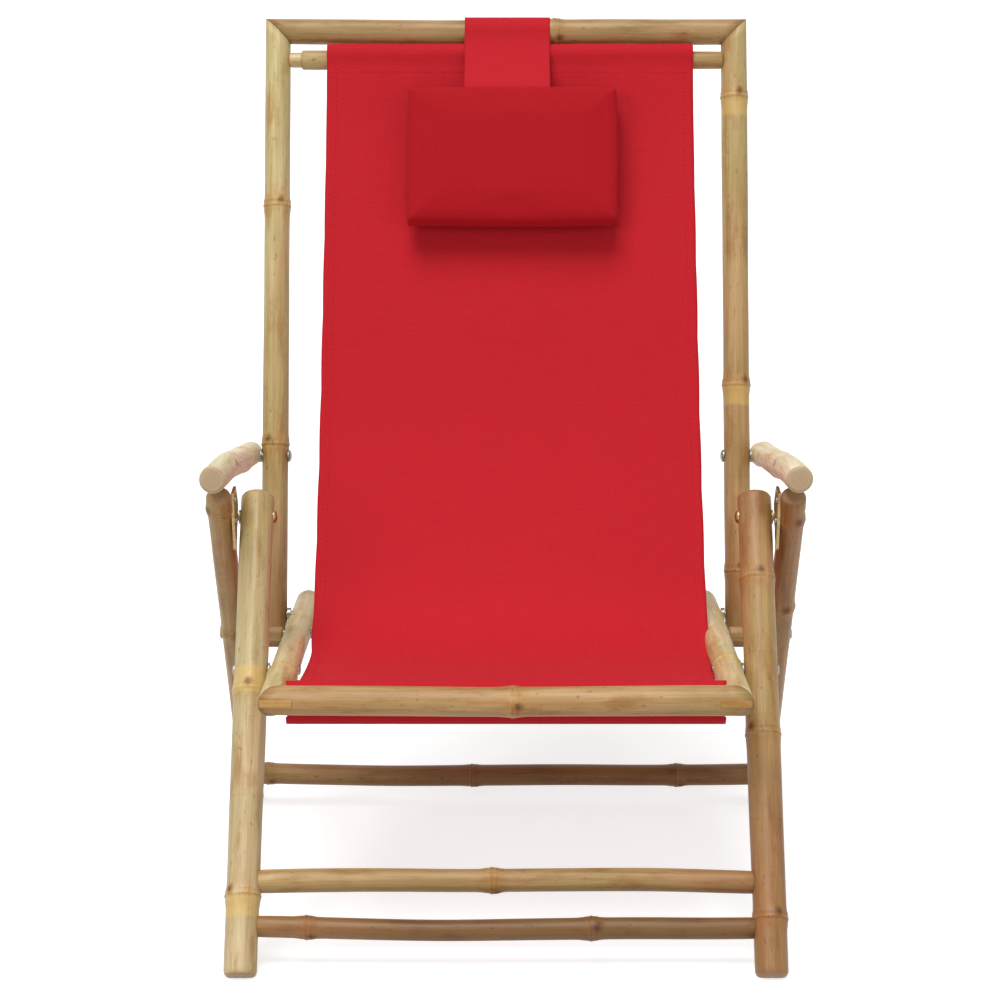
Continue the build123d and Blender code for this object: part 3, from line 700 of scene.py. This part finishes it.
def turned(node, body, p, profile, material):
    """Turns (x, radius) pairs about an X axis through p, on both sides of the chair, in place of a node."""
    verts, faces = [], []
    for s in (-1, 1):
        starts = []
        for x, r in profile:
            starts.append(len(verts))
            for i in range(TURN_SIDES):
                angle = 2 * pi * i / TURN_SIDES
                verts.append(at(s * x, p) + Vector((0, cos(angle) * r, sin(angle) * r)))
        new = tube(starts, TURN_SIDES)
        faces += new if s > 0 else [face[::-1] for face in new]
    obj = new_object(f"{node}_steel", verts, faces, material)
    edges = obj.modifiers.new("sharp_edges", "EDGE_SPLIT")
    edges.split_angle = radians(SPLIT_ANGLE)
    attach(obj, body)
    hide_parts(node)


def dome(x):
    """Profile of a domed head whose flat face is at x and whose top points to the middle, with its shank."""
    turns = [radians(k) for k in DOME_TURNS]
    head = [(x - DOME_RIM - DOME_RISE * sin(k), DOME_R * cos(k)) for k in turns]
    return head + [(x, DOME_R), (x, SHANK_R)]


def low_head(x):
    """Profile of a low rounded head that stands out from x."""
    return [(x + height, r) for height, r in LOW_HEAD]


def inner_head(x):
    """Profile of a low rounded head that stands inwards from x, with its shank."""
    return [(x - height, r) for height, r in LOW_HEAD[::-1]] + [(x, SHANK_R)]


def washer(x0, x1):
    return [(x0, SHANK_R), (x0, WASHER_R), (x1, WASHER_R), (x1, SHANK_R)]


# Places across, where the bolts' heads and washers lie against the poles.
RAIL_IN, RAIL_OUT = SEAT_X - FRAME_R + 0.0006, 0.2411
turned("front_pivot_bolts", "front_legs", PIVOT_FRONT,
       inner_head(RAIL_IN) + washer(RAIL_OUT, 0.2424) + low_head(0.2772), STEEL)
turned("back_pivot_bolts", "seat", PIVOT_BACK,
       inner_head(RAIL_IN) + washer(RAIL_OUT, 0.2449) + low_head(0.2747), STEEL)
turned("rear_pivot_bolts", "seat", PIVOT_REAR, inner_head(RAIL_IN) + low_head(0.3082), STEEL)
turned("arm_bolts", "back", PIVOT_ARM, dome(0.2455) + washer(0.275, 0.2795) + [(0.3, SHANK_R)], STEEL)
turned("latch_bolts", "front_legs", LATCH,
       dome(0.243) + washer(0.277, 0.2786) + [(0.2806, SHANK_R), (0.2811, SHANK_TIP)], BRASS)
SPACER_IN, SPACER_OUT, SPACER_R = 0.2412, 0.2812, 0.0076
SPACER_SEEDS = {"left": 23, "right": 24}
for s, tag in SIDES:
    inner, outer = at(s * SPACER_IN, PIVOT_REAR), at(s * SPACER_OUT, PIVOT_REAR)
    spacer = pole(f"pivot_spacer_{tag}", inner, outer, SPACER_R, "seat", (), (TAN, TAN), SPACER_SEEDS[tag],
                  crook=0.0)
    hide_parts("rear_pivot_bolts")


def set_material(nodes, material):
    """Gives solids that stay visible a material of their own."""
    for node in nodes:
        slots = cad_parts[node].data.materials
        slots.clear()
        slots.append(material)


set_material(("notch_plate_left", "notch_plate_right"), BRASS)
set_material(("plate_screws", "arm_pins", "arm_tab_left", "arm_tab_right"), STEEL)


# Sling: one sheet with a sleeve round each rod, hemmed along both sides.
def spline(p0, p1, p2, p3, t):
    """Point between p1 and p2 of a smooth line through four points."""
    return 0.5 * (2 * p1 + (p2 - p0) * t + (2 * p0 - 5 * p1 + 4 * p2 - p3) * t * t
                  + (3 * p1 - p0 - 3 * p2 + p3) * t ** 3)


def run_lengths(points):
    """Distance along a line of points up to each of them."""
    return np.concatenate([[0], np.cumsum(np.linalg.norm(np.diff(points, axis=0), axis=1))])


def curve(points, step):
    """Smooth line through points of the side plane, at even steps, and its length."""
    pts = [np.array(p, float) for p in points]
    pts = [2 * pts[0] - pts[1]] + pts + [2 * pts[-1] - pts[-2]]
    fine = []
    for i in range(1, len(pts) - 2):
        fine += [spline(*pts[i - 1:i + 3], t) for t in np.linspace(0, 1, 24, endpoint=False)]
    fine = np.array(fine + [pts[-2]])
    run = run_lengths(fine)
    even = np.linspace(0, run[-1], int(run[-1] / step) + 1)
    return np.stack([np.interp(even, run, fine[:, k]) for k in (0, 1)], axis=1), run[-1]


def arc(centre, r, start, end, count):
    """Points of a circle in the side plane, angles from +Y towards +Z in degrees."""
    turns = [radians(t) for t in np.linspace(start, end, count)]
    return [(centre[0] + r * cos(t), centre[1] + r * sin(t)) for t in turns]


# The cloth's route from the back of the top sleeve, over the rod, down the back and along the seat to the
# front sleeve.
POCKET_TOP = (0.3165, 0.8475)
SLING_ROUTE = (
    [(0.3012, 0.8145)]
    + arc(ROD_TOP, 0.012, -105, 0, 5)
    + arc(POCKET_TOP, 0.0106, 25, 180, 7)
    + [(0.3052, 0.837), (0.301, 0.824), (0.283, 0.769), (0.257, 0.704), (0.231, 0.64),
       (0.205, 0.576), (0.18, 0.515), (0.154, 0.458), (0.127, 0.408), (0.098, 0.362),
       (0.069, 0.321), (0.043, 0.29), (0.019, 0.27), (-0.008, 0.2573), (-0.038, 0.2518),
       (-0.075, 0.25), (-0.11, 0.2515), (-0.145, 0.2553), (-0.183, 0.2598), (-0.218, 0.2655),
       (-0.235, 0.273), (-0.247, 0.2772), (-0.2565, 0.2725), (-0.2598, 0.261), (-0.2588, 0.2455),
       (-0.2505, 0.2345), (-0.2415, 0.2375), (-0.2345, 0.25), (-0.225, 0.2595), (-0.208, 0.2606)]
)
SLING_STEP, SLING_COLUMNS, SLING_THICK = 0.006, 90, 0.0011
SLING_HALF, POCKET_HALF = 0.208, 0.2165  # half widths of the cloth and of its front sleeve
SLING_ASIDE = 0.0045  # the cloth sits a little off the middle
BEND_GAIN, SEAT_LOSS = 0.0043, 0.0034  # half width gained down to the bend, and lost again on the seat
FRONT_SHARE = 0.8  # share of the route where the front sleeve begins
FOLD_LIFT, RIPPLE, EDGE_CURL, GATHER, EDGE_WAVE = 0.0008, 0.0006, 0.0022, 0.0005, 0.0008
HEM_SHARE = 0.1  # share of the half width that curls at the edge
TOP_GATHER, FRONT_GATHER, GATHER_REACH = 0.075, 0.87, 0.022  # shares of the route, at the sleeves' seams

line, sling_length = curve(SLING_ROUTE, SLING_STEP)
rnd = random.Random(21)
# Soft folds along the cloth, as (place across, width, strength).
folds = [(rnd.uniform(-0.2, 0.2), rnd.uniform(0.03, 0.09), rnd.uniform(-1, 1)) for _ in range(7)]
tangent = np.gradient(line, axis=0)
tangent /= np.linalg.norm(tangent, axis=1)[:, None]
normal = np.stack([-tangent[:, 1], tangent[:, 0]], axis=1)


def sling_half(share, z):
    """Half width: wider towards the bend, and spread over and under the rails at the front sleeve."""
    half = SLING_HALF + BEND_GAIN * ramp_up(0.1, 0.66, share) - SEAT_LOSS * ramp_up(0.68, 0.75, share)
    if share < FRONT_SHARE:
        return half
    spread = max(ramp_up(0.269, 0.2755, z), ramp_up(0.25, 0.244, z))
    return half + (POCKET_HALF - half) * spread


def sling_lift(share, x, free):
    """How far the cloth stands off its route: folds where it hangs free, gathers at the sleeves' seams."""
    wave = sum(strength * bell(x - place, width) for place, width, strength in folds) * FOLD_LIFT
    wave += sin(x * 31 + share * 9) * RIPPLE
    edge = max(abs(x) / SLING_HALF - 1 + HEM_SHARE, 0) / HEM_SHARE
    gather = bell(share - TOP_GATHER, GATHER_REACH) + bell(share - FRONT_GATHER, GATHER_REACH)
    pleats = GATHER * (sin(x * 173 + 40 * x * x) + sin(x * 71 + 1))
    return free * (wave + EDGE_CURL * edge ** 2) + gather * pleats * (0.4 + edge)


def sling_point(i, x):
    """Point of the cloth at row i of its route and x across."""
    share = i / (len(line) - 1)
    free = sin(pi * min(max((share - 0.12) / 0.7, 0), 1)) ** 0.7
    y, z = line[i] - normal[i] * sling_lift(share, x, free)
    aside = SLING_ASIDE * ramp_up(0.93, 0.74, share)
    wobble = EDGE_WAVE * sin(share * 40 + (1 if x > 0 else 2)) * free * abs(x) / SLING_HALF
    return Vector((x * sling_half(share, z) / SLING_HALF + copysign(wobble, x) + aside, y, z))


def evaluated_mesh(obj):
    """A new mesh with the object's modifiers applied."""
    return bpy.data.meshes.new_from_object(obj.evaluated_get(bpy.context.evaluated_depsgraph_get()))


def cloth_grid(name, rows, length, place, xs, thickness):
    """A grid of cloth given a thickness, with a weave attribute. place(i, x) gives its points."""
    verts, weave, faces = [], [], []
    for i, far in enumerate(np.linspace(0, length, rows)):
        for x in xs:
            verts.append(place(i, x))
            weave.append((x, far, 0.0))
    n = len(xs)
    for i in range(rows - 1):
        for k in range(n - 1):
            faces.append((i * n + k, i * n + k + 1, (i + 1) * n + k + 1, (i + 1) * n + k))
    obj = new_object(name, verts, faces, CLOTH)
    set_attribute(obj, "weave", "FLOAT_VECTOR", weave)
    solid = obj.modifiers.new("thickness", "SOLIDIFY")
    solid.thickness = thickness
    solid.offset = 0.0
    applied = evaluated_mesh(obj)
    obj.modifiers.clear()
    obj.data = applied
    return obj


sling = cloth_grid("sling_cloth", len(line), sling_length, sling_point,
                   np.linspace(-SLING_HALF, SLING_HALF, SLING_COLUMNS), SLING_THICK)
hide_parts("sling_seat", "sling_back")

# Stitches: short threads just above the cloth.
STITCH_LENGTH, STITCH_GAP, STITCH_R = 0.0034, 0.0019, 0.0005
STITCH_SIDES = 6
STITCH_ENDS = 0.45  # share of the thickness at a stitch's ends
STITCH_LIFT = 0.0007
HEM, SEAM_END = 0.011, 0.004  # from the cloth's edge to the hem's stitches and to the ends of the seams


def add_stitch(ends, far, verts, weave, faces):
    """One stitch through three points."""
    d = (ends[2] - ends[0]).normalized()
    u = d.orthogonal().normalized()
    v = d.cross(u)
    starts = []
    for end, size in zip(ends, (STITCH_ENDS, 1.0, STITCH_ENDS)):
        starts.append(len(verts))
        for i in range(STITCH_SIDES):
            angle = 2 * pi * i / STITCH_SIDES
            verts.append(end + (u * cos(angle) + v * sin(angle)) * STITCH_R * size)
            weave.append((i * 0.0003, far, 0.0))
    faces += tube(starts, STITCH_SIDES)


def stitch_mesh(name, runs):
    """Stitches along runs of points."""
    verts, weave, faces = [], [], []
    for run in runs:
        run = np.array([tuple(p) for p in run])
        run_far = run_lengths(run)
        far = 0.0
        while far + STITCH_LENGTH < run_far[-1]:
            places = [far + STITCH_LENGTH * t for t in (0, 0.5, 1)]
            ends = [Vector([np.interp(place, run_far, run[:, k]) for k in range(3)]) for place in places]
            add_stitch(ends, far, verts, weave, faces)
            far += STITCH_LENGTH + STITCH_GAP
    obj = new_object(name, verts, faces, THREAD)
    set_attribute(obj, "weave", "FLOAT_VECTOR", weave)
    return obj


def above(i, x):
    """Place of a stitch just above the cloth."""
    p = sling_point(i, x)
    p.y -= normal[i][0] * STITCH_LIFT
    p.z -= normal[i][1] * STITCH_LIFT
    return p


TOP_SEAM_Z, FRONT_SEAM_Y = 0.8275, -0.225
BACK_OF_SLEEVE = 9  # rows of the route that lie behind the top rod
FRONT_ROWS = range(int(len(line) * 0.92) + 1)
hem_rows = range(int(len(line) * 0.09), int(len(line) * 0.93))
hem_runs = [[above(i, s * (SLING_HALF - HEM)) for i in hem_rows] for s in (-1, 1)]
seam_top = min(range(BACK_OF_SLEEVE + 1, len(line)), key=lambda i: abs(line[i][1] - TOP_SEAM_Z))
seam_front = min(FRONT_ROWS, key=lambda i: abs(line[i][0] - FRONT_SEAM_Y))
seam_xs = np.linspace(-SLING_HALF + SEAM_END, SLING_HALF - SEAM_END, 60)
cross_runs = [[above(i, x) for x in seam_xs] for i in (seam_top, seam_front)]
stitches = stitch_mesh("sling_stitches", hem_runs + cross_runs)
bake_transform(sling)
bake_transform(stitches)


# Head pillow: a foam pad in a sewn cover, swelled by a short cloth simulation.
PILLOW_MID = Vector((0.0072, 0.2423, 0.739))
P_V = Vector((0, 0.3827, 0.9239)).normalized()
P_N = X_DIR.cross(P_V)
HALF_W, HALF_H, HALF_T = 0.1192, 0.079, 0.0155
PAD_CELLS = (48, 32, 12)  # across, up and through
PAD_EDGE = 0.01  # radius of the pad's edges
PAD_WAIST_W, PAD_WAIST_H = 0.006, 0.008  # shares by which the edges bend in
PAD_CROWN, PAD_CORNER = 0.22, 0.02  # shares by which the faces stand out and the corners draw in
PAD_SWELL = 0.0016  # how far the simulation may move a point
PAD_PRESSURE, PAD_STRETCH, PAD_BEND, PAD_FRAMES = 1.0, 30, 2.0, 20
SEAM_R, SEAM_SIDES = 0.0011, 8


def pad_point(a, b, c):
    """Point of the pad. a, b and c run from -1 to 1 across, up and through it."""
    bend_w = 1 - PAD_WAIST_W * (1 - b * b)
    bend_h = 1 - PAD_WAIST_H * (1 - a * a)
    crown = 1 + PAD_CROWN * (1 - a ** 4) * (1 - b ** 4)
    corner = 1 - PAD_CORNER * (a * a * b * b)
    into_edge = max(PAD_EDGE - HALF_T * (1 - abs(c)), 0.0)
    inset = PAD_EDGE - sqrt(PAD_EDGE ** 2 - into_edge ** 2)
    across = a * (HALF_W - inset) * bend_w * corner
    up = b * (HALF_H - inset) * bend_h * corner
    return PILLOW_MID + X_DIR * across + P_V * up + P_N * (c * HALF_T * crown)


class PadMesh:
    """Box of cells whose outer points lie on the pad."""

    def __init__(self):
        self.verts, self.faces, self.index = [], [], {}
        n, m, k = PAD_CELLS
        for i in range(n):
            for j in range(m):
                self.add_cell((i, j, 0), (1, 0, 0), (0, 1, 0), outward=False)
                self.add_cell((i, j, k), (1, 0, 0), (0, 1, 0), outward=True)
        for l in range(k):
            for i in range(n):
                self.add_cell((i, 0, l), (1, 0, 0), (0, 0, 1), outward=True)
                self.add_cell((i, m, l), (1, 0, 0), (0, 0, 1), outward=False)
            for j in range(m):
                self.add_cell((0, j, l), (0, 1, 0), (0, 0, 1), outward=False)
                self.add_cell((n, j, l), (0, 1, 0), (0, 0, 1), outward=True)

    def vertex(self, key):
        if key not in self.index:
            self.index[key] = len(self.verts)
            self.verts.append(pad_point(*(2 * step / cells - 1 for step, cells in zip(key, PAD_CELLS))))
        return self.index[key]

    def add_cell(self, start, one, two, outward):
        """A face from a corner along two steps. outward says whether these turn to the outside."""
        def moved(*ways):
            return tuple(sum(parts) for parts in zip(start, *ways))

        face = [self.vertex(key) for key in (start, moved(one), moved(one, two), moved(two))]
        self.faces.append(face if outward else face[::-1])

    def rim(self):
        """Points round the pad where its seam runs, nearer to the back."""
        n, m, k = PAD_CELLS
        loop = [(i, 0) for i in range(n)] + [(n, j) for j in range(m)]
        loop += [(n - i, m) for i in range(n)] + [(0, m - j) for j in range(m)]
        return [self.index[(i, j, k // 4)] for i, j in loop]


def swell(obj):
    """Blows a closed mesh up a little, with each point moved by PAD_SWELL at most."""
    start = np.array([tuple(v.co) for v in obj.data.vertices])
    cloth = obj.modifiers.new("swell", "CLOTH")
    cloth.settings.use_pressure = True
    cloth.settings.uniform_pressure_force = PAD_PRESSURE
    cloth.settings.effector_weights.gravity = 0.0
    cloth.settings.tension_stiffness = PAD_STRETCH
    cloth.settings.compression_stiffness = PAD_STRETCH
    cloth.settings.bending_stiffness = PAD_BEND
    cloth.point_cache.frame_start = 1
    cloth.point_cache.frame_end = PAD_FRAMES
    for f in range(1, PAD_FRAMES + 1):
        scene.frame_set(f)
    moved = np.array([tuple(v.co) for v in evaluated_mesh(obj).vertices]) - start
    size = np.maximum(np.linalg.norm(moved, axis=1), 1e-9)
    end = start + moved * np.minimum(PAD_SWELL / size, 1.0)[:, None]
    obj.modifiers.clear()
    for v, co in zip(obj.data.vertices, end):
        v.co = co
    scene.frame_set(1)


def pad_weave(co):
    """Place on the pillow's cloth."""
    d = co - PILLOW_MID
    through = 0.3 * d.dot(P_N)
    return (d.dot(X_DIR) + through, d.dot(P_V) + through, 0.0)


pad = PadMesh()
pillow = new_object("headrest_pillow_cover", pad.verts, pad.faces, PAD)
swell(pillow)
set_attribute(pillow, "weave", "FLOAT_VECTOR", [pad_weave(v.co) for v in pillow.data.vertices])
smooth = pillow.modifiers.new("smooth", "SUBSURF")
smooth.levels = smooth.render_levels = 1
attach(pillow, "headrest")
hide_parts("headrest_pillow")


def closed_cord(name, points, r, material):
    """A thin cord through points that form a loop round the pillow."""
    count = len(points)
    verts, weave, starts = [], [], []
    for i, p in enumerate(points):
        d = (points[(i + 1) % count] - points[i - 1]).normalized()
        u = (P_N - d * P_N.dot(d)).normalized()
        v = d.cross(u)
        starts.append(len(verts))
        for k in range(SEAM_SIDES):
            angle = 2 * pi * k / SEAM_SIDES
            verts.append(p + (u * cos(angle) + v * sin(angle)) * r)
            weave.append((k * 0.001, i * 0.004, 0.0))
    obj = new_object(name, verts, join_rings(starts + starts[:1], SEAM_SIDES), material)
    set_attribute(obj, "weave", "FLOAT_VECTOR", weave)
    return obj


seam = closed_cord("pillow_seam", [pillow.data.vertices[i].co for i in pad.rim()], SEAM_R, PAD)
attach(seam, "headrest")

# Strap: one band from the pillow's top over the top rail and round behind it.
STRAP_ROUTE = (
    [(0.2675, 0.8065), (0.272, 0.815), (0.287, 0.83), (0.301, 0.8465), (0.3115, 0.862)]
    + arc(BACK_TOP, 0.0158, 172, -150, 22)
)
STRAP_STEP, STRAP_COLUMNS, STRAP_THICK = 0.004, 36, 0.0012
STRAP_HALF, STRAP_ASIDE = 0.0485, 0.0015
STRAP_BOW, STRAP_WAVE = 0.0006, 0.004  # bow of the face, and the share by which the width varies
FREE_ROWS = 12  # rows of the route before the strap lies on the rail
strap_line, strap_length = curve(STRAP_ROUTE, STRAP_STEP)


def strap_point(i, x):
    """Point of the strap at row i of its route and x across."""
    bow = STRAP_BOW * sin(x * 60 + i * 0.2) * (1 if i < FREE_ROWS else 0.3)
    across = x * (1 + STRAP_WAVE * sin(i * 0.5)) + STRAP_ASIDE
    return Vector((across, strap_line[i][0] - bow, strap_line[i][1]))


strap = cloth_grid("headrest_strap_band", len(strap_line), strap_length, strap_point,
                   np.linspace(-STRAP_HALF, STRAP_HALF, STRAP_COLUMNS), STRAP_THICK)
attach(strap, "headrest")
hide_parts("headrest_strap")

# Floor, lights and camera.
WHITE = (1, 1, 1)
FLOOR_TONE, FLOOR_GLOW = 0.62, 0.7  # the floor's own grey, and what is added where it is seen directly
FLOOR_REACH = 30
WORLD_LIGHT = 0.26
SUN_POWER, SUN_SIZE, SUN_TURN = 2.45, 0.6, (radians(20), radians(-8), 0)
SENSOR = 36.0
FOCAL_PIXELS, IMAGE_PIXELS = 2659.5, 1000
CAMERA_PLACE, CAMERA_DOWN, CAMERA_SHIFT = (0, -2.74775, 1.064), 13.57, -0.006


def seen_directly(m):
    """1 for rays of the camera, of reflections and through glass, and 0 for light that falls on things."""
    path = m.add("ShaderNodeLightPath").outputs
    seen = m.math("MAXIMUM", path["Is Camera Ray"], path["Is Glossy Ray"])
    return m.math("MAXIMUM", seen, path["Is Transmission Ray"])


def floor_material():
    """Pale floor that shows nearly white to the camera and keeps a soft shadow."""
    m = Nodes(bpy.data.materials.new("floor"))
    m.shade("Base Color", (FLOOR_TONE, FLOOR_TONE, FLOOR_TONE))
    m.shade("Roughness", 0.9)
    m.shade("Specular IOR Level", 0.1)
    glow = m.add("ShaderNodeEmission", {"Color": WHITE, "Strength": m.times(seen_directly(m), FLOOR_GLOW)})
    both = m.add("ShaderNodeAddShader", {0: m.bsdf.outputs["BSDF"], 1: glow.outputs["Emission"]})
    m.feed(m.tree.nodes["Material Output"].inputs["Surface"], both.outputs["Shader"])
    return m.owner


def white_world():
    """Soft light from all round, seen directly as plain white."""
    m = Nodes(bpy.data.worlds.new("studio"))
    light = m.tree.nodes["Background"]
    m.feed(light.inputs["Color"], WHITE)
    m.feed(light.inputs["Strength"], WORLD_LIGHT)
    plain = m.add("ShaderNodeBackground", {"Color": WHITE, "Strength": 1.0})
    choose = m.add("ShaderNodeMixShader", {"Fac": seen_directly(m), 1: light.outputs[0], 2: plain.outputs[0]})
    m.feed(m.tree.nodes["World Output"].inputs["Surface"], choose.outputs["Shader"])
    return m.owner


def lamp(name, place, target, size, power):
    """Round soft lamp that points from a place to a target."""
    data = bpy.data.lights.new(name, "AREA")
    data.shape = "DISK"
    data.size = size
    data.energy = power
    obj = add_object(name, data)
    obj.location = place
    obj.rotation_euler = (Vector(target) - Vector(place)).to_track_quat("-Z", "Y").to_euler()


corners = [(x * FLOOR_REACH, y * FLOOR_REACH, 0) for x, y in ((-1, -1), (1, -1), (1, 1), (-1, 1))]
floor = new_object("floor", corners, [(0, 1, 2, 3)], floor_material(), smooth=False)
scene.world = white_world()

sun = bpy.data.lights.new("top", "SUN")
sun.energy = SUN_POWER
sun.angle = SUN_SIZE
add_object("top", sun).rotation_euler = SUN_TURN
lamp("key", (-2.2, -3.0, 1.9), (0, 0, 0.45), size=1.4, power=24)
lamp("fill", (2.2, -2.6, 1.4), (0, 0, 0.4), size=2.2, power=12)

camera_data = bpy.data.cameras.new("camera")
camera_data.sensor_width = SENSOR
camera_data.lens = FOCAL_PIXELS / IMAGE_PIXELS * SENSOR
camera_data.shift_x = CAMERA_SHIFT
camera = add_object("camera", camera_data)
camera.location = CAMERA_PLACE
camera.rotation_euler = (radians(90 - CAMERA_DOWN), 0, 0)
scene.camera = camera
